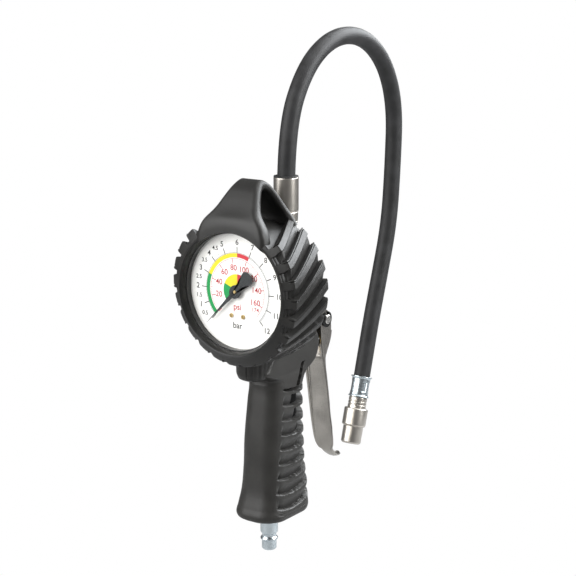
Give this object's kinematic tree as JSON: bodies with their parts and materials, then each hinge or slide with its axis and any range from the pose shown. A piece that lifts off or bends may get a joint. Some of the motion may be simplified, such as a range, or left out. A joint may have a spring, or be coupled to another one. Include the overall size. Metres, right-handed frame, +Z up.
{
  "type": "portable tyre inflator",
  "caption": "Hand-held tyre inflator: pistol grip with squeeze lever, dial gauge in a ribbed rubber boot, short hose with a push-on chuck.",
  "frame": {"origin": "middle of the grip, on the axis of the inlet plug, at the mount hand_grip", "axes": "+Z up along the handle towards the gauge; the dial faces -Y and the lever is on the +Y side; +X to the right of someone who reads the dial"},
  "size_m": [0.0974, 0.2094, 0.3465],
  "materials": {
    "black_plastic": "fine textured moulded nylon",
    "boot_rubber": "matt moulded rubber",
    "hose_rubber": "satin extruded rubber",
    "bezel_plastic": "gloss black",
    "window": "clear polished",
    "dial_enamel": "satin white print",
    "pointer_enamel": "satin charcoal",
    "lever_steel": "drawn along its length, nickel plated",
    "pin_steel": "turned",
    "dark_steel": "blackened",
    "brass": "turned",
    "nickel": "satin nickel plate",
    "zinc_plate": "bright zinc plate",
    "spring_steel": "drawn wire",
    "cast_alloy": "die cast",
    "case_steel": "black lacquer",
    "seal_rubber": "matt"
  },
  "bodies": {
    "handle": {"grip_housing": "black_plastic", "rear_cover": "black_plastic", "gauge_boot": "boot_rubber", "bezel_ring": "bezel_plastic", "gauge_lens": "window", "dial": "dial_enamel", "dial_screws": "brass", "lever_pin": "pin_steel", "retaining_clips": "dark_steel", "cover_screws": "dark_steel", "valve_gland": "brass", "hose_nipple": "nickel", "hose_ferrule": "nickel", "ferrule_ring": "hose_rubber", "hose": "hose_rubber", "end_ferrule": "zinc_plate", "chuck_stem": "nickel", "inlet_plug": "zinc_plate", "valve_body": "cast_alloy", "plug_seal": "seal_rubber", "inlet_filter": "brass", "valve_seat": "brass", "valve_spring": "spring_steel", "gland_seal": "seal_rubber", "outlet_union": "nickel", "gauge_case": "case_steel", "lens_gasket": "seal_rubber", "gauge_socket": "brass", "socket_seal": "seal_rubber", "bourdon_tube": "brass", "movement_frame": "brass", "movement_link": "brass", "hairspring": "spring_steel", "sleeve_clip": "spring_steel", "sleeve_spring": "spring_steel", "grip_ring": "spring_steel", "chuck_seal": "seal_rubber", "chuck_pin": "spring_steel"},
    "lever": {"lever": "lever_steel"},
    "plunger": {"valve_plunger": "spring_steel", "poppet_seal": "seal_rubber"},
    "sector": {"sector_gear": "brass"},
    "pointer": {"pointer": "pointer_enamel", "pointer_arbor": "spring_steel"},
    "chuck_sleeve": {"chuck_sleeve": "nickel"}
  },
  "joints": [
    {"name": "lever_hinge", "type": "hinge", "parent": "handle", "child": "lever", "pos_m": [0, 0.0552, 0.0805], "axis": [-1, 0, 0], "range_deg": [0, 12], "stiffness_Nm_per_rad": 0.6, "springref_deg": -11.46},
    {"name": "plunger_slide", "type": "slide", "parent": "handle", "child": "plunger", "axis": [0, -1, 0], "range_m": [0, 0.0037], "deforming": ["valve_spring"]},
    {"name": "sector_hinge", "type": "hinge", "parent": "handle", "child": "sector", "pos_m": [0, -0.0245, 0.103], "axis": [0, -1, 0], "range_deg": [0, 27], "stiffness_Nm_per_rad": 0.02, "springref_deg": -2.86},
    {"name": "pointer_hinge", "type": "hinge", "parent": "handle", "child": "pointer", "pos_m": [0, -0.0345, 0.115], "axis": [0, 1, 0], "range_deg": [0, 270], "deforming": ["hairspring"]},
    {"name": "sleeve_slide", "type": "slide", "parent": "handle", "child": "chuck_sleeve", "axis": [0, 0.2946, 0.9556], "range_m": [0, 0.004], "stiffness_N_per_m": 500, "springref_m": -0.004, "deforming": ["sleeve_spring"]}
  ],
  "couplings": [
    {"joint": "plunger_slide", "follows": "lever_hinge", "m_per_rad": 0.0172},
    {"joint": "pointer_hinge", "follows": "sector_hinge", "ratio": 10}
  ]
}
